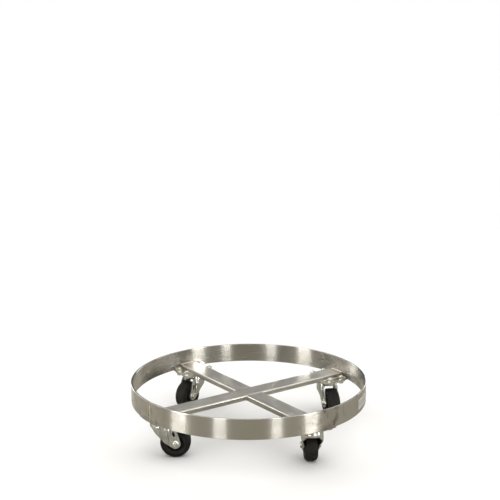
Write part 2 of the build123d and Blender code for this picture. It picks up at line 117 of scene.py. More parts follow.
# ---------------------------------------------------------------- material building
class Surface:
    """One material: a Principled shader and the nodes that feed it."""

    def __init__(self, name, **values):
        """Starts a material, with values set on the shader's own sockets by name, _ standing for a space."""
        self.material = bpy.data.materials.new(name)
        self.material.use_nodes = True
        self.tree = self.material.node_tree
        self.tree.nodes.clear()
        self.output = self.tree.nodes.new("ShaderNodeOutputMaterial")
        self.shader = self.tree.nodes.new("ShaderNodeBsdfPrincipled")
        self.tree.links.new(self.shader.outputs[0], self.output.inputs["Surface"])
        self.coords = self.node("ShaderNodeTexCoord").outputs["Object"]
        for key, value in values.items():
            self.shader.inputs[key.replace("_", " ")].default_value = value

    def put(self, socket, value):
        """Links a socket to value, or sets it there if value is a number or a colour."""
        if isinstance(value, bpy.types.NodeSocket):
            self.tree.links.new(value, socket)
        elif isinstance(value, (tuple, list)) and len(value) == 3 and socket.type == "RGBA":
            socket.default_value = (*value, 1)
        else:
            socket.default_value = value

    def node(self, kind, inputs=None, **settings):
        """Adds a node of a kind, with its settings and its inputs."""
        made = self.tree.nodes.new(kind)
        for key, value in settings.items():
            setattr(made, key, value)
        for key, value in (inputs or {}).items():
            self.put(made.inputs[key], value)
        return made

    def feed(self, name, value):
        """Feeds one of the shader's inputs."""
        self.put(self.shader.inputs[name], value)

    def maths(self, operation, first, second=0.0, third=0.0):
        """The result of a Math node."""
        return self.node("ShaderNodeMath", {0: first, 1: second, 2: third}, operation=operation).outputs[0]

    def plus(self, first, second):
        """The sum of two values."""
        return self.maths("ADD", first, second)

    def minus(self, first, second):
        """The first value less the second."""
        return self.maths("SUBTRACT", first, second)

    def times(self, first, second):
        """The product of two values."""
        return self.maths("MULTIPLY", first, second)

    def larger(self, first, second):
        """Whichever value is larger."""
        return self.maths("MAXIMUM", first, second)

    def size(self, value):
        """The value without its sign."""
        return self.maths("ABSOLUTE", value)

    def length(self, first, second):
        """How long the hypotenuse over two sides is."""
        return self.maths("SQRT", self.plus(self.times(first, first), self.times(second, second)))

    def vector_maths(self, operation, first, second):
        """The result of a Vector Math node."""
        return self.node("ShaderNodeVectorMath", {0: first, 1: second}, operation=operation).outputs[0]

    def split(self, vector):
        """A vector's X, Y and Z."""
        return self.node("ShaderNodeSeparateXYZ", {0: vector}).outputs

    def join(self, x, y, z):
        """The vector with this X, Y and Z."""
        return self.node("ShaderNodeCombineXYZ", {0: x, 1: y, 2: z}).outputs[0]

    def turn(self, vector, angle):
        """A vector turned about +Z."""
        inputs = {"Vector": vector, "Angle": angle}
        return self.node("ShaderNodeVectorRotate", inputs, rotation_type="Z_AXIS").outputs[0]

    def noise(self, vector, scale, detail=3.0, roughness=0.5, distortion=0.0):
        """A noise texture with scale cycles per metre."""
        inputs = {"Vector": vector, "Scale": scale, "Detail": detail, "Roughness": roughness,
                  "Distortion": distortion}
        return self.node("ShaderNodeTexNoise", inputs).outputs["Fac"]

    def streaks(self, vector, scales, detail, roughness):
        """A noise texture drawn out into streaks, with its own scale along each of X, Y and Z."""
        return self.noise(self.vector_maths("MULTIPLY", vector, scales), 1.0, detail, roughness)

    def spangles(self, vector, scale):
        """Flat crystals, each with one random shade from 0 to 1."""
        inputs = {"Vector": vector, "Scale": scale}
        cells = self.node("ShaderNodeTexVoronoi", inputs, feature="F1")
        return self.split(cells.outputs["Color"])[0]

    def span(self, value, low, high, to_low=0.0, to_high=1.0, smooth=True):
        """Maps value from low..high to to_low..to_high, and holds it at the ends."""
        inputs = {"Value": value, "From Min": low, "From Max": high, "To Min": to_low, "To Max": to_high}
        kind = "SMOOTHSTEP" if smooth else "LINEAR"
        return self.node("ShaderNodeMapRange", inputs, interpolation_type=kind).outputs[0]

    def fade(self, value, low, high):
        """1 up to low, falling to 0 at high."""
        return self.span(value, low, high, 1.0, 0.0)

    def near(self, value, middle, reach):
        """1 where value is at middle, falling to 0 at reach from it."""
        return self.fade(self.size(self.minus(value, middle)), 0.0, reach)

    def varied(self, texture, low=0.0, high=1.0):
        """Maps the range that most of a noise texture lies in to low..high."""
        return self.span(texture, NOISE_LOW, NOISE_HIGH, low, high)

    def blend(self, amount, first, second):
        """Mixes two colours."""
        mix = self.node("ShaderNodeMix", data_type="RGBA", clamp_factor=True)
        self.put(mix.inputs[0], amount)
        self.put(mix.inputs[6], first)
        self.put(mix.inputs[7], second)
        return mix.outputs[2]

    def mottle(self, texture, first, second):
        """Two colours mixed by a noise texture."""
        return self.blend(self.varied(texture), first, second)

    def ramp(self, value, stops):
        """A colour ramp through (position, colour) stops."""
        made = self.node("ShaderNodeValToRGB", {"Fac": value})
        elements = made.color_ramp.elements
        while len(elements) < len(stops):
            elements.new(0.5)
        for element, (position, colour) in zip(elements, stops):
            element.position = position
            element.color = (*colour, 1)
        return made.outputs["Color"]

    def relief(self, height, distance, strength):
        """Feeds the shader's normal with a bump that is distance deep, in metres."""
        inputs = {"Height": height, "Distance": distance, "Strength": strength}
        self.feed("Normal", self.node("ShaderNodeBump", inputs).outputs[0])

    def ring_coords(self):
        """(distance round the ring, height, radius, angle) at each point, about the dolly's own axis."""
        x, y, z = self.split(self.coords)
        angle = self.maths("ARCTAN2", y, x)
        return self.times(angle, RING_RADIUS), z, self.length(x, y), angle

    def corner_distance(self, angle):
        """How far round the ring a point is from the nearest caster, in radians."""
        from_first_corner = self.minus(angle, pi / 4)
        return self.size(self.maths("WRAP", from_first_corner, pi / 4, -pi / 4))

    def caster_coords(self, corner, centre):
        """Coordinates about centre, with X the way the caster trails and Y along its axle."""
        moved = self.vector_maths("SUBTRACT", self.coords, tuple(centre))
        return self.turn(moved, -heading(corner))


# ---------------------------------------------------------------- materials of the frame
# The colours that heat leaves on stainless steel, by how hot it was, and the heat at which they cover it.
HEAT_TINT = (
    (0.0, (0.46, 0.43, 0.36)),
    (0.3, (0.43, 0.37, 0.26)),
    (0.55, (0.33, 0.26, 0.18)),
    (0.8, (0.25, 0.225, 0.20)),
    (1.0, (0.22, 0.215, 0.205)),
)
FULL_TINT = 0.8


def brushed_stainless():
    """The ring: flat bar brushed lengthways, tinted where the pads and the butt joint were welded."""
    s = Surface("brushed_stainless", Metallic=1.0, Anisotropic=1.0, Anisotropic_Rotation=0.25)
    around, height, radius, angle = s.ring_coords()
    lengthways = s.join(around, height, radius)
    fine = s.streaks(lengthways, (9.0, 3400.0, 3400.0), detail=2.0, roughness=0.6)
    broad = s.streaks(lengthways, (3.0, 700.0, 700.0), detail=3.0, roughness=0.55)
    cloud = s.noise(s.coords, scale=9.0, detail=3.0, roughness=0.55)
    smudge = s.noise(s.coords, scale=34.0, detail=4.0, roughness=0.6, distortion=0.6)
    fine_share = 0.65
    grain = s.plus(s.times(fine, fine_share), s.times(broad, 1.0 - fine_share))
    dark_grain = (0.450, 0.436, 0.405)
    light_grain = (0.510, 0.498, 0.468)
    warm_cloud = (0.45, 0.42, 0.35)
    steel = s.mottle(grain, dark_grain, light_grain)
    steel = s.blend(s.span(cloud, 0.35, 0.7, to_high=0.35), steel, warm_cloud)

    # Tint over each pad, strongest at the lower edge, and a band of it beside the butt weld. How far each
    # reaches round the ring is in radians, and its edge is ragged where the smudges are.
    raggedness = 0.03
    pad_raggedness = 3.0
    seam_raggedness = 1.8
    pad_heat_rise = 0.020
    seam_heat_share = 0.85
    tint_share = 0.62
    ragged = s.times(s.minus(smudge, 0.5), raggedness)
    rise = s.plus(s.minus(height, RING_BOTTOM), ragged)
    from_corner = s.corner_distance(angle)
    from_seam = s.size(s.minus(angle, SEAM_ANGLE))
    over_pad = s.fade(s.plus(from_corner, s.times(ragged, pad_raggedness)), 0.07, 0.18)
    pad_heat = s.times(over_pad, s.fade(rise, 0.0, pad_heat_rise))
    seam_heat = s.fade(s.plus(from_seam, s.times(ragged, seam_raggedness)), 0.008, 0.06)
    heat = s.larger(pad_heat, s.times(seam_heat, seam_heat_share))
    tint = s.times(s.span(heat, 0.0, FULL_TINT), tint_share)
    steel = s.blend(tint, steel, s.ramp(heat, HEAT_TINT))

    # Dark smut: spatter where the steel was hot, smears down the wall, and stains near the welds.
    smut = (0.125, 0.115, 0.095)
    spatter_share = 0.6
    smear_share = 0.30
    stain_share = 0.7
    specks = s.noise(s.coords, scale=260.0, detail=3.0, roughness=0.6, distortion=0.3)
    spatter = s.times(s.times(s.span(specks, 0.60, 0.68), s.span(heat, 0.1, 0.6)), spatter_share)
    upright = s.join(s.times(around, 75.0), s.times(height, 14.0), radius)
    drips = s.noise(upright, scale=1.0, detail=4.0, roughness=0.6, distortion=0.7)
    smear = s.times(s.span(drips, 0.66, 0.76), smear_share)
    near_weld = s.larger(s.fade(from_corner, 0.10, 0.32), s.fade(from_seam, 0.03, 0.12))
    blotch = s.noise(s.coords, scale=52.0, detail=4.0, roughness=0.62, distortion=0.8)
    stain = s.times(s.times(s.span(blotch, 0.545, 0.64), near_weld), stain_share)
    dirt = s.larger(s.larger(spatter, smear), stain)
    steel = s.blend(dirt, steel, smut)

    # Scuffs left by drums on the inner wall, which lies deeper in than the middle of the wall.
    scuffed = (0.27, 0.25, 0.21)
    scuff_share = 0.22
    middle_depth = 0.0025
    inner_depth = 0.004
    inner_wall = s.fade(radius, RING_RADIUS - inner_depth, RING_RADIUS - middle_depth)
    scrape = s.streaks(lengthways, (30.0, 260.0, 1.0), detail=4.0, roughness=0.65)
    scuff = s.times(inner_wall, s.span(scrape, 0.52, 0.62))
    s.feed("Base Color", s.blend(s.times(scuff, scuff_share), steel, scuffed))

    # Rougher under heat tint, dirt and scuffs. The relief is the brushing, with a few nicks.
    dull_dirt = 0.14
    dull_scuff = 0.06
    nick_depth = 0.3
    rough = s.plus(s.varied(grain, 0.185, 0.225), s.span(smudge, 0.45, 0.75, to_high=0.03))
    rough = s.plus(rough, s.times(s.larger(heat, dirt), dull_dirt))
    s.feed("Roughness", s.plus(rough, s.times(scuff, dull_scuff)))
    dents = s.streaks(lengthways, (90.0, 500.0, 300.0), detail=1.0, roughness=0.4)
    nicks = s.span(dents, 0.72, 0.78)
    s.relief(s.minus(fine, s.times(nicks, nick_depth)), distance=0.000006, strength=0.3)
    s.feed("Tangent", s.node("ShaderNodeTangent", direction_type="RADIAL", axis="Z").outputs[0])
    return s.material


def mill_stainless(name, along):
    """Plain rolled stainless for a channel or pad whose length lies along the given angle."""
    s = Surface(name, Metallic=1.0)
    rolled = s.streaks(s.turn(s.coords, -along), (14.0, 900.0, 900.0), detail=2.0, roughness=0.55)
    grain = s.noise(s.coords, scale=1500.0, detail=2.0, roughness=0.6)
    cloud = s.noise(s.coords, scale=14.0, detail=4.0, roughness=0.6, distortion=0.4)
    blotch = s.noise(s.coords, scale=48.0, detail=4.0, roughness=0.65, distortion=0.8)
    dark_grain = (0.44, 0.425, 0.39)
    light_grain = (0.53, 0.515, 0.48)
    warm_cloud = (0.40, 0.38, 0.335)
    steel = s.mottle(rolled, dark_grain, light_grain)
    steel = s.blend(s.span(cloud, 0.4, 0.75, to_high=0.4), steel, warm_cloud)

    # A ring of rub marks where the drum's bottom chime stands, on the top face only.
    polished = (0.70, 0.69, 0.66)
    rub_share = 0.7
    face_skin = 0.0002
    side_skin = 0.0008
    around, height, radius, _ = s.ring_coords()
    under_chime = s.near(radius, CHIME_RADIUS, CHIME_REACH)
    arcs = s.noise(s.join(s.times(around, 45.0), s.times(radius, 900.0), 0.0), scale=1.0)
    on_top = s.span(height, SEAT_HEIGHT - side_skin, SEAT_HEIGHT - face_skin)
    rub = s.times(s.times(under_chime, s.span(arcs, 0.42, 0.6)), on_top)
    steel = s.blend(s.times(rub, rub_share), steel, polished)

    # Heat tint that starts some way in from the ring.
    raggedness = 0.016
    heat_starts = 0.024
    heat_full = 0.006
    tint_share = 0.65
    ragged = s.times(s.minus(blotch, 0.5), raggedness)
    heat = s.span(s.plus(radius, ragged), RING_RADIUS - heat_starts, RING_RADIUS - heat_full)
    tint = s.times(s.span(heat, 0.0, FULL_TINT), tint_share)
    s.feed("Base Color", s.blend(tint, steel, s.ramp(heat, HEAT_TINT)))

    # Smoother where it is rubbed. The relief is mostly the rolling, and partly fine grain.
    shine_of_rub = 0.12
    rolled_share = 0.7
    rough = s.plus(s.varied(rolled, 0.28, 0.36), s.span(blotch, 0.5, 0.75, to_high=0.14))
    s.feed("Roughness", s.minus(rough, s.times(rub, shine_of_rub)))
    bumps = s.plus(s.times(rolled, rolled_share), s.times(grain, 1.0 - rolled_share))
    s.relief(bumps, distance=0.00003, strength=0.6)
    return s.material


def weld_metal():
    """TIG beads, silver in places and tinted in others. Their ripples are in the mesh."""
    s = Surface("weld_metal", Metallic=1.0)
    cloud = s.noise(s.coords, scale=190.0, detail=3.0, roughness=0.6)
    fine = s.noise(s.coords, scale=1400.0, detail=2.0, roughness=0.5)
    tints = (
        (0.0, (0.60, 0.58, 0.52)),
        (0.4, (0.55, 0.50, 0.39)),
        (0.7, (0.42, 0.34, 0.24)),
        (1.0, (0.27, 0.245, 0.22)),
    )
    s.feed("Base Color", s.ramp(s.span(cloud, 0.3, 0.72), tints))
    s.feed("Roughness", s.varied(fine, 0.24, 0.42))
    s.relief(fine, distance=0.00005, strength=0.5)
    return s.material


def label_foil():
    """A blank satin foil label with a plain printed border, lightly creased and dulled at its edges."""
    s = Surface("label_foil", Metallic=0.35, Coat_Weight=0.4, Coat_Roughness=0.12)
    around, height, _, _ = s.ring_coords()
    half_width = (LABEL_END - LABEL_START) / 2 * RING_RADIUS
    half_height = (LABEL_HIGH[2] - LABEL_LOW[2]) / 2
    middle_around = (LABEL_START + LABEL_END) / 2 * RING_RADIUS
    middle_height = (LABEL_HIGH[2] + LABEL_LOW[2]) / 2
    across = s.size(s.minus(around, middle_around))
    up = s.size(s.minus(height, middle_height))
    past_edge = s.larger(s.minus(across, half_width), s.minus(up, half_height))
    border_width = 0.0028
    border_edge = 0.0008
    border = s.span(past_edge, -border_width - border_edge, -border_width)
    handled = s.noise(s.coords, scale=240.0, detail=4.0, roughness=0.65, distortion=0.5)
    dark_foil = (0.45, 0.45, 0.44)
    light_foil = (0.54, 0.54, 0.53)
    pale_ink = (0.74, 0.745, 0.73)
    dull_edge = (0.45, 0.43, 0.38)
    ink_share = 0.85
    wear_share = 0.5
    wear_raggedness = 0.0016
    wear_starts = -0.0006
    wear_full = 0.0008
    foil = s.mottle(handled, dark_foil, light_foil)
    foil = s.blend(s.times(border, ink_share), foil, pale_ink)
    worn = s.span(s.plus(past_edge, s.times(handled, wear_raggedness)), wear_starts, wear_full)
    s.feed("Base Color", s.blend(s.times(worn, wear_share), foil, dull_edge))
    s.feed("Roughness", s.span(handled, 0.3, 0.75, 0.28, 0.5))
    creases = s.noise(s.coords, scale=55.0, detail=3.0, roughness=0.6)
    s.relief(creases, distance=0.0003, strength=0.35)
    return s.material


# ---------------------------------------------------------------- materials of the casters
def inside_fork(s, coords):
    """1 on a fork's inner faces, which face the wheel and are painted near black as shade, and 0 on its
    outer ones.
    """
    # How far behind a leg's or the crown's inner face it stays 1, how fast it falls from there, and how far
    # below the shoulder the crown's part of it starts.
    behind_leg = 0.0007
    behind_crown = 0.0003
    edge = 0.0006
    shoulder_edge = 0.0005
    crown_overlap = 0.0025
    x, y, _ = s.split(coords)
    height = s.split(s.coords)[2]
    radius = s.length(x, y)
    crown_radius = FORK_CROWN_RADIUS + behind_crown

    # The crown's splay counts only within its round plan, because the legs behind it stand straight.
    full_splay = FORK_CROWN_INSIDE - FORK_LEG_INSIDE
    splay = s.span(height, FORK_KNEE, FORK_SHOULDER, to_high=full_splay, smooth=False)
    splay = s.times(splay, s.fade(radius, crown_radius + 1.5 * edge, crown_radius + 2.5 * edge))
    inner_face = s.plus(splay, FORK_LEG_INSIDE + behind_leg)
    between_legs = s.fade(s.minus(s.size(y), inner_face), 0.0, edge)
    below_crown = s.fade(height, FORK_SHOULDER - shoulder_edge, FORK_SHOULDER + shoulder_edge)
    in_crown = s.span(height, FORK_SHOULDER - crown_overlap, FORK_SHOULDER - shoulder_edge)
    within_crown = s.fade(radius, crown_radius, crown_radius + edge)
    return s.larger(s.times(between_legs, below_crown), s.times(within_crown, in_crown))


def zinc_sheet(name, corner=None):
    """Bright zinc plate with a faint yellow passivation, spangled and drawn, with dark vertical streaks that
    are partly drawing marks and partly painted reflection, and painted shade in near black inside a fork.
    """
    s = Surface(name, Metallic=0.9, IOR=2.2)
    coords = s.caster_coords(corner, swivel_axis(corner)) if corner else s.coords
    cloud = s.noise(coords, scale=26.0, detail=4.0, roughness=0.6, distortion=0.5)
    patches = s.noise(coords, scale=130.0, detail=3.0, roughness=0.6)
    spangle = s.spangles(coords, scale=420.0)
    drawn = s.streaks(coords, (1400.0, 1400.0, 60.0), detail=2.0, roughness=0.5)
    dark_zinc = (0.56, 0.575, 0.555)
    light_zinc = (0.69, 0.705, 0.685)
    dark_yellow = (0.60, 0.575, 0.44)
    light_yellow = (0.66, 0.64, 0.53)
    spangle_grey = (0.42, 0.42, 0.40)
    streak_and_reflection_grey = (0.30, 0.305, 0.29)
    grime_brown = (0.17, 0.155, 0.12)
    painted_shade_black = (0.016, 0.0145, 0.012)
    spangle_share = 0.18
    drawn_share = 0.6
    plate = s.mottle(patches, dark_zinc, light_zinc)
    yellow = s.blend(s.span(patches, 0.35, 0.65), dark_yellow, light_yellow)
    plate = s.blend(s.span(cloud, 0.48, 0.72, to_high=0.55), plate, yellow)
    plate = s.blend(s.times(spangle, spangle_share), plate, spangle_grey)
    # Dark vertical streaks: drawing marks in the zinc, made strong enough to serve as painted reflection of
    # the bright and dark bands that a curved fork would mirror.
    streak_and_reflection = s.streaks(coords, (240.0, 240.0, 14.0), detail=3.0, roughness=0.6)
    plate = s.blend(s.span(streak_and_reflection, 0.46, 0.62, to_high=0.55), plate, streak_and_reflection_grey)
    smudge = s.noise(coords, scale=75.0, detail=5.0, roughness=0.7, distortion=0.3)
    grime = s.span(smudge, 0.62, 0.76, to_high=0.5)
    plate = s.blend(grime, plate, grime_brown)

    # Rougher on the spangles, the painted shade inside a fork and the grime.
    dull_spangle = 0.05
    dull_painted_shade = 0.4
    dull_grime = 0.25
    rough = s.plus(s.varied(drawn, 0.09, 0.16), s.times(spangle, dull_spangle))
    if corner:
        # Painted shade: a fork's inner faces, which stand in the wheel's shadow, are coloured near black.
        painted_shade = s.times(inside_fork(s, coords), s.varied(patches, 0.97, 0.86))
        plate = s.blend(painted_shade, plate, painted_shade_black)
        rough = s.plus(rough, s.times(painted_shade, dull_painted_shade))
    s.feed("Base Color", plate)
    s.feed("Roughness", s.plus(rough, s.times(grime, dull_grime)))
    bumps = s.plus(s.times(drawn, drawn_share), s.times(patches, 1.0 - drawn_share))
    s.relief(bumps, distance=0.00002, strength=0.5)
    return s.material


def zinc_fastener():
    """Bright zinc on bolts, nuts, washers and sleeves, with dull dirt in patches."""
    s = Surface("zinc_fastener", Metallic=1.0)
    patches = s.noise(s.coords, scale=260.0, detail=3.0, roughness=0.6)
    smudge = s.noise(s.coords, scale=110.0, detail=4.0, roughness=0.7, distortion=0.4)
    pitting = s.noise(s.coords, scale=1800.0, detail=2.0, roughness=0.6)
    dark_zinc = (0.58, 0.58, 0.55)
    light_zinc = (0.73, 0.73, 0.70)
    dirt_brown = (0.18, 0.165, 0.13)
    dull_dirt = 0.3
    dirt = s.span(smudge, 0.55, 0.75, to_high=0.5)
    s.feed("Base Color", s.blend(dirt, s.mottle(patches, dark_zinc, light_zinc), dirt_brown))
    s.feed("Roughness", s.plus(s.varied(patches, 0.15, 0.24), s.times(dirt, dull_dirt)))
    s.relief(pitting, distance=0.00004, strength=0.5)
    return s.material


def race_steel():
    """Hardened races and kingpins under a film of grease."""
    s = Surface("race_steel", Metallic=1.0)
    turned = s.streaks(s.coords, (40.0, 40.0, 1600.0), detail=3.0, roughness=0.6)
    film = s.noise(s.coords, scale=90.0, detail=4.0, roughness=0.65, distortion=0.4)
    dark_steel = (0.40, 0.39, 0.37)
    light_steel = (0.52, 0.51, 0.49)
    grease = (0.14, 0.115, 0.075)
    steel = s.mottle(turned, dark_steel, light_steel)
    s.feed("Base Color", s.blend(s.span(film, 0.45, 0.7, to_high=0.7), steel, grease))
    s.feed("Roughness", s.span(film, 0.4, 0.7, 0.36, 0.22))
    s.relief(turned, distance=0.00003, strength=0.5)
    return s.material


def ball_steel():
    """Polished bearing balls with traces of grease."""
    s = Surface("ball_steel", Metallic=1.0)
    film = s.noise(s.coords, scale=320.0, detail=3.0, roughness=0.6)
    polished = (0.80, 0.80, 0.79)
    grease = (0.34, 0.29, 0.20)
    s.feed("Base Color", s.blend(s.span(film, 0.5, 0.75), polished, grease))
    s.feed("Roughness", s.span(film, 0.5, 0.75, 0.08, 0.3))
    s.relief(film, distance=0.00002, strength=0.4)
    return s.material


def bush_bronze():
    """Sintered bronze, porous and oiled."""
    s = Surface("bush_bronze", Metallic=1.0)
    pores = s.noise(s.coords, scale=2600.0, detail=3.0, roughness=0.7)
    oil = s.noise(s.coords, scale=160.0, detail=3.0, roughness=0.6)
    pore_brown = (0.30, 0.19, 0.09)
    bright_bronze = (0.62, 0.43, 0.22)
    oily_brown = (0.17, 0.11, 0.055)
    bronze = s.blend(s.span(pores, 0.35, 0.6), pore_brown, bright_bronze)
    s.feed("Base Color", s.blend(s.span(oil, 0.5, 0.7, to_high=0.6), bronze, oily_brown))
    s.feed("Roughness", s.span(oil, 0.4, 0.7, 0.45, 0.26))
    s.relief(pores, distance=0.00008, strength=0.6)
    return s.material


def moulded_rings(s, radius, pitch):
    """Fine rings that the mould's turning leaves round a wheel, as a wave from -1 to 1."""
    return s.maths("SINE", s.times(radius, 2 * pi / pitch))


def tyre_rubber(corner):
    """Moulded black rubber: glossier on the walls, rubbed dull and dusty on the tread, with a mould line."""
    s = Surface(f"wheel_tyre_{corner}", Specular_IOR_Level=0.1, Sheen_Weight=0.01, Sheen_Roughness=0.4)
    local = s.caster_coords(corner, axle_centre(corner))
    x, y, z = s.split(local)
    radius = s.length(x, z)
    # The radii at which the tread starts and is full, and the wall's moulded rings end and are full.
    tread_starts = 0.0352
    tread_full = 0.0374
    rings_end = 0.0345
    rings_full = 0.0325
    tread = s.span(radius, tread_starts, tread_full)
    wall = s.span(radius, rings_end, rings_full)
    # Distance round the wheel is measured at this radius, its tread's.
    wrap_radius = 0.038
    around = s.join(s.times(s.maths("ARCTAN2", z, x), wrap_radius), y, radius)
    cloud = s.noise(local, scale=60.0, detail=4.0, roughness=0.6, distortion=0.4)
    fine = s.noise(local, scale=1300.0, detail=3.0, roughness=0.6)
    scrape = s.streaks(around, (60.0, 1500.0, 1500.0), detail=3.0, roughness=0.6)
    dark_rubber = (0.0092, 0.0080, 0.0066)
    light_rubber = (0.0205, 0.0178, 0.0145)
    floor_dust = (0.12, 0.108, 0.088)
    speck_grey = (0.12, 0.108, 0.09)
    dust_share = 0.16
    black = s.blend(s.span(cloud, 0.35, 0.7), dark_rubber, light_rubber)
    dust = s.times(tread, s.span(scrape, 0.42, 0.68, 0.15, 0.8))
    black = s.blend(s.times(dust, dust_share), black, floor_dust)
    specks = s.noise(local, scale=520.0, detail=2.0, roughness=0.5)
    s.feed("Base Color", s.blend(s.span(specks, 0.66, 0.74, to_high=0.25), black, speck_grey))
    dull_tread = 0.22
    s.feed("Roughness", s.plus(s.varied(cloud, 0.36, 0.5), s.times(tread, dull_tread)))

    # Relief, by share: the mould's fine texture and parting line, rings on the walls, scrapes on the tread.
    fine_share = 0.45
    line_share = 0.9
    rings_share = 0.10
    scrape_share = 0.5
    half_line = 0.0005
    rings = s.times(moulded_rings(s, radius, pitch=0.0011), rings_share)
    bumps = s.plus(s.times(fine, fine_share), s.times(s.near(y, 0.0, half_line), line_share))
    bumps = s.plus(bumps, s.times(wall, rings))
    bumps = s.plus(bumps, s.times(scrape, s.times(tread, scrape_share)))
    s.relief(bumps, distance=0.00018, strength=0.7)
    return s.material


def core_plastic(corner):
    """The moulded black centre, with turning rings, flow marks and a little dust in the dish."""
    s = Surface(f"wheel_core_{corner}", Specular_IOR_Level=0.2)
    local = s.caster_coords(corner, axle_centre(corner))
    x, _, z = s.split(local)
    radius = s.length(x, z)
    cloud = s.noise(local, scale=70.0, detail=4.0, roughness=0.6, distortion=0.5)
    fine = s.noise(local, scale=1700.0, detail=2.0, roughness=0.6)
    dark_plastic = (0.0085, 0.0075, 0.0065)
    light_plastic = (0.019, 0.0165, 0.014)
    dish_dust = (0.11, 0.10, 0.082)
    dish_radius = 0.0185
    dish_reach = 0.006
    dust_share = 0.22
    dull_dust = 0.25
    rings_share = 0.35
    black = s.blend(s.span(cloud, 0.35, 0.7), dark_plastic, light_plastic)
    dish = s.times(s.near(radius, dish_radius, dish_reach), s.span(cloud, 0.4, 0.65, 0.2, 0.7))
    s.feed("Base Color", s.blend(s.times(dish, dust_share), black, dish_dust))
    s.feed("Roughness", s.plus(s.varied(cloud, 0.34, 0.46), s.times(dish, dull_dust)))
    rings = s.times(moulded_rings(s, radius, pitch=0.0014), rings_share)
    s.relief(s.plus(fine, rings), distance=0.00008, strength=0.6)
    return s.material


# ---------------------------------------------------------------- materials on the pieces
def dress(node, material):
    """Gives every material slot of a CAD node the same material."""
    for slot in NODES[node].material_slots:
        slot.material = material


dress("ring_band", brushed_stainless())
dress("rating_label", label_foil())
welds = weld_metal()
for node in ("ring_seam_weld", "frame_welds"):
    dress(node, welds)

# The arms of the cross and the pads lie along the two diagonals.
falling = mill_stainless("mill_stainless_falling", radians(135))
rising = mill_stainless("mill_stainless_rising", radians(45))
dress("cross_channel_long", rising)
for node in ("cross_channel_left", "cross_channel_right"):
    dress(node, falling)
for corner in CORNERS:
    axis = swivel_axis(corner)
    dress(f"caster_pad_{corner}", rising if axis.x * axis.y > 0 else falling)

fastener = zinc_fastener()
race = race_steel()
balls = ball_steel()
bronze = bush_bronze()
plate = zinc_sheet("zinc_plate")
for node in ("mount_bolts", "mount_lock_washers", "mount_nuts"):
    dress(node, fastener)
for corner in CORNERS:
    dress(f"caster_plate_{corner}", plate)
    dress(f"kingpin_{corner}", race)
    dress(f"lower_race_cup_{corner}", race)
    dress(f"fork_{corner}", zinc_sheet(f"zinc_fork_{corner}", corner))
    dress(f"swivel_balls_{corner}", balls)
    for piece in ("axle_bolt", "axle_nut", "axle_sleeve"):
        dress(f"{piece}_{corner}", fastener)
    dress(f"tyre_{corner}", tyre_rubber(corner))
    dress(f"wheel_core_{corner}", core_plastic(corner))
    dress(f"wheel_bush_{corner}", bronze)

# ---------------------------------------------------------------- softened edges
# How near two vertices are to count as one, and how wide each kind of piece has its edges broken.
SAME_POINT = 0.000002
CHANNEL_EDGE = 0.0004
PAD_EDGE = 0.0005
PLATE_EDGE = 0.0004
FORK_EDGE = 0.0005
FASTENER_EDGE = 0.0002


def soften(node, width, angle=35.0):
    """Breaks a CAD node's edges sharper than angle with a small bevel, so that they catch the light."""
    thing = NODES[node]
    weld = thing.modifiers.new("join_faces", "WELD")
    weld.merge_threshold = SAME_POINT
    bevel = thing.modifiers.new("broken_edges", "BEVEL")
    bevel.width = width
    bevel.segments = 2
    bevel.limit_method = "ANGLE"
    bevel.angle_limit = radians(angle)
    bevel.harden_normals = True
    bevel.use_clamp_overlap = True


for node in ("cross_channel_long", "cross_channel_left", "cross_channel_right"):
    soften(node, CHANNEL_EDGE)
for corner in CORNERS:
    soften(f"caster_pad_{corner}", PAD_EDGE)
    soften(f"caster_plate_{corner}", PLATE_EDGE)
    soften(f"fork_{corner}", FORK_EDGE, angle=40.0)
    soften(f"axle_bolt_{corner}", FASTENER_EDGE)
    soften(f"axle_nut_{corner}", FASTENER_EDGE)
for node in ("mount_bolts", "mount_nuts"):
    soften(node, FASTENER_EDGE)


# ---------------------------------------------------------------- rippled weld beads
def islands(mesh):
    """The vertex indices of each separate piece of a mesh."""
    parent = list(range(len(mesh.vertices)))

    def root_of(index):
        """The vertex that stands for the whole piece that a vertex is in."""
        while parent[index] != index:
            parent[index] = parent[parent[index]]
            index = parent[index]
        return index

    for edge in mesh.edges:
        first, second = (root_of(index) for index in edge.vertices)
        parent[first] = second
    groups = {}
    for index in range(len(parent)):
        groups.setdefault(root_of(index), []).append(index)
    return list(groups.values())


def long_axis(points, middle):
    """The direction in which a bead's points spread furthest."""
    far = max(points, key=lambda point: (point - middle).length)
    return (far - middle).normalized()


# How strongly ripples curve back at a bead's sides, and how round their crests are.
RIPPLE_CURVE = 90.0
RIPPLE_ROUNDNESS = 0.6

# The noise that makes ripples uneven, as a share of their pitch, and lumpy, as a share of their depth.
UNEVEN_SCALE = 220.0
UNEVEN_SHARE = 0.25
LUMP_SCALE = 700.0
LUMP_SHARE = 0.5


def ripple_press(point, along, aside, pitch, depth):
    """How far a point on a bead is pressed in: ripples that curve back to the sides, and fine lumps."""
    uneven = noise.noise(point * UNEVEN_SCALE) * UNEVEN_SHARE
    phase = (along + RIPPLE_CURVE * aside * aside) / pitch + uneven
    crest = abs(sin(pi * phase))
    lump = (noise.noise(point * LUMP_SCALE) + 1.0) / 2
    return depth * (1.0 - crest ** RIPPLE_ROUNDNESS) + depth * LUMP_SHARE * lump


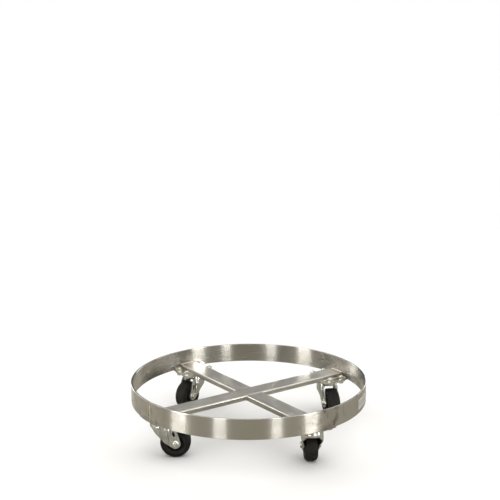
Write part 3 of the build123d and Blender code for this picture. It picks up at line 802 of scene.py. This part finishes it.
def ripple_beads(name, node, voxel, pitch, depth):
    """Replaces a node of weld beads with a copy, pressed inwards into the ripples that a welder leaves."""
    beads = bpy.data.objects.new(name, NODES[node].data.copy())
    bpy.context.scene.collection.objects.link(beads)
    remesh = beads.modifiers.new("remesh", "REMESH")
    remesh.mode = "VOXEL"
    remesh.voxel_size = voxel
    bpy.context.view_layer.update()
    graph = bpy.context.evaluated_depsgraph_get()
    mesh = bpy.data.meshes.new_from_object(beads.evaluated_get(graph))
    beads.modifiers.clear()
    beads.data = mesh
    normals = [vertex.normal.copy() for vertex in mesh.vertices]
    for group in islands(mesh):
        points = [mesh.vertices[index].co.copy() for index in group]
        middle = sum(points, Vector()) / len(points)
        axis = long_axis(points, middle)
        for index, point in zip(group, points):
            along = (point - middle).dot(axis)
            aside = (point - middle - axis * along).length
            press = ripple_press(point, along, aside, pitch, depth)
            mesh.vertices[index].co -= normals[index] * press
    mesh.shade_smooth()
    mesh.materials.clear()
    mesh.materials.append(welds)
    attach(beads, "root")
    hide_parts(node)


ripple_beads("rippled_frame_welds", "frame_welds", voxel=0.0006, pitch=0.0021, depth=0.0003)
ripple_beads("rippled_seam_weld", "ring_seam_weld", voxel=0.0004, pitch=0.0019, depth=0.00022)

# ---------------------------------------------------------------- floor
FLOOR_REACH = 40.0
FLOOR_SIDES = 96


def floor_surface(name, low, high):
    """Plain matt studio flooring between two colours."""
    s = Surface(name, Roughness=0.85, Specular_IOR_Level=0.25)
    cloud = s.noise(s.coords, scale=3.0, detail=4.0, roughness=0.5)
    s.feed("Base Color", s.mottle(cloud, low, high))
    s.relief(s.noise(s.coords, scale=400.0, detail=3.0, roughness=0.6), distance=0.00005, strength=0.1)
    return s.material


def make_floor(name, material, depth):
    """A matt disc far wider than the view, depth below the height that the wheels stand on."""
    turns = [2 * pi * side / FLOOR_SIDES for side in range(FLOOR_SIDES)]
    rim = [(FLOOR_REACH * cos(turn), FLOOR_REACH * sin(turn), 0.0) for turn in turns]
    mesh = bpy.data.meshes.new(name)
    mesh.from_pydata(rim, [], [tuple(range(FLOOR_SIDES))])
    mesh.materials.append(material)
    floor = bpy.data.objects.new(name, mesh)
    floor.location.z = cad_low.z - depth
    bpy.context.scene.collection.objects.link(floor)
    return floor


pale_floor = floor_surface("pale_floor", (0.880, 0.879, 0.875), (0.888, 0.887, 0.883))
floor = make_floor("studio_floor", pale_floor, depth=0.0004)
floor.visible_glossy = False

# What the steel mirrors is a darker, warmer floor, so that bright metal doesn't go white.
warm_floor = floor_surface("warm_floor", (0.35, 0.325, 0.26), (0.385, 0.36, 0.295))
mirrored = make_floor("mirrored_floor", warm_floor, depth=0.0002)
mirrored.visible_camera = False
mirrored.visible_diffuse = False
mirrored.visible_shadow = False

# ---------------------------------------------------------------- camera
CAMERA_BEARING = radians(9.65)
CAMERA_DISTANCE = 2.5
CAMERA_HEIGHT = 0.9896
CAMERA_PITCH = radians(11.322)
CAMERA_ROLL = radians(-0.25)
CAMERA_ASIDE = 0.00517
CAMERA_LENS = 72.2
SENSOR_WIDTH = 36.0
FAR_CLIP = 100.0

to_camera = Vector((sin(CAMERA_BEARING), -cos(CAMERA_BEARING), 0))
camera_right = Vector((cos(CAMERA_BEARING), sin(CAMERA_BEARING), 0))
camera_data = bpy.data.cameras.new("camera")
camera_data.lens = CAMERA_LENS
camera_data.sensor_width = SENSOR_WIDTH
camera_data.clip_end = FAR_CLIP
camera = bpy.data.objects.new("camera", camera_data)
place = to_camera * CAMERA_DISTANCE + camera_right * CAMERA_ASIDE
camera.location = (place.x, place.y, CAMERA_HEIGHT)
bearing = Matrix.Rotation(CAMERA_BEARING, 4, "Z")
tilt = Matrix.Rotation(pi / 2 - CAMERA_PITCH, 4, "X")
roll = Matrix.Rotation(CAMERA_ROLL, 4, "Z")
camera.matrix_world = Matrix.Translation(camera.location) @ bearing @ tilt @ roll
bpy.context.scene.collection.objects.link(camera)
bpy.context.scene.camera = camera

# ---------------------------------------------------------------- lights
STRIP_FOOT = 0.02
STRIP_COLOUR = (1.0, 0.995, 0.98)

# Name, bearing from the camera's side in degrees, distance, height of the top, width, and radiance.
STRIPS = (
    ("strip_far_left", -63.5, 2.4, 1.6, 0.64, 15.5),
    ("strip_left", -25, 2.8, 1.5, 0.52, 12.5),
    ("strip_right", 24.3, 2.8, 1.5, 0.44, 13.0),
    ("strip_far_right", 56.5, 2.4, 1.6, 0.54, 15.3),
    ("fill_left", -104, 2.4, 1.6, 1.7, 1.6),
    ("fill_right", 98, 2.4, 1.6, 1.3, 0.8),
    ("strip_back_right", 150, 2.6, 1.6, 0.50, 8.0),
    ("strip_back_left", -140, 2.6, 1.6, 0.60, 8.0),
)


def strip_light(name, bearing, distance, top, width, radiance):
    """A strip light that stands round the dolly and faces its middle, and is seen only in reflections."""
    data = bpy.data.lights.new(name, "AREA")
    data.shape = "RECTANGLE"
    data.size = width
    data.size_y = top - STRIP_FOOT
    data.energy = radiance * pi * data.size * data.size_y
    data.color = STRIP_COLOUR
    lamp = bpy.data.objects.new(name, data)
    turn = CAMERA_BEARING + radians(bearing)
    lamp.location = (sin(turn) * distance, -cos(turn) * distance, (STRIP_FOOT + top) / 2)
    facing = Vector((-lamp.location.x, -lamp.location.y, 0))
    lamp.rotation_euler = facing.to_track_quat("-Z", "Y").to_euler()
    lamp.visible_camera = False
    lamp.visible_diffuse = False
    bpy.context.scene.collection.objects.link(lamp)


for strip in STRIPS:
    strip_light(*strip)

OVERHEAD_STRENGTH = 3.3
OVERHEAD_SPREAD = radians(122)
OVERHEAD_COLOUR = (1.0, 0.997, 0.99)
OVERHEAD_HEIGHT = 4


def overhead_light():
    """Light from straight above, as soft as an overcast sky, which lights the whole floor evenly."""
    data = bpy.data.lights.new("overhead", "SUN")
    data.energy = OVERHEAD_STRENGTH
    data.angle = OVERHEAD_SPREAD
    data.color = OVERHEAD_COLOUR
    lamp = bpy.data.objects.new("overhead", data)
    lamp.location = (0, 0, OVERHEAD_HEIGHT)
    bpy.context.scene.collection.objects.link(lamp)


overhead_light()

ROOM_COLOUR = (0.62, 0.60, 0.56, 1)
ROOM_STRENGTH = 0.25
BACKDROP_COLOUR = (1.0, 1.0, 1.0, 1)
BACKDROP_STRENGTH = 1.0


def make_world():
    """A grey studio round the object, which shows as plain white behind it."""
    world = bpy.data.worlds.new("studio")
    world.use_nodes = True
    tree = world.node_tree
    tree.nodes.clear()
    output = tree.nodes.new("ShaderNodeOutputWorld")
    room = tree.nodes.new("ShaderNodeBackground")
    room.inputs["Color"].default_value = ROOM_COLOUR
    room.inputs["Strength"].default_value = ROOM_STRENGTH
    backdrop = tree.nodes.new("ShaderNodeBackground")
    backdrop.inputs["Color"].default_value = BACKDROP_COLOUR
    backdrop.inputs["Strength"].default_value = BACKDROP_STRENGTH
    seen = tree.nodes.new("ShaderNodeLightPath")
    mix = tree.nodes.new("ShaderNodeMixShader")
    tree.links.new(seen.outputs["Is Camera Ray"], mix.inputs[0])
    tree.links.new(room.outputs[0], mix.inputs[1])
    tree.links.new(backdrop.outputs[0], mix.inputs[2])
    tree.links.new(mix.outputs[0], output.inputs["Surface"])
    bpy.context.scene.world = world


make_world()
bpy.context.scene.view_settings.view_transform = "Standard"
bpy.context.scene.view_settings.look = "None"

# ---------------------------------------------------------------- the end
bpy.context.view_layer.update()
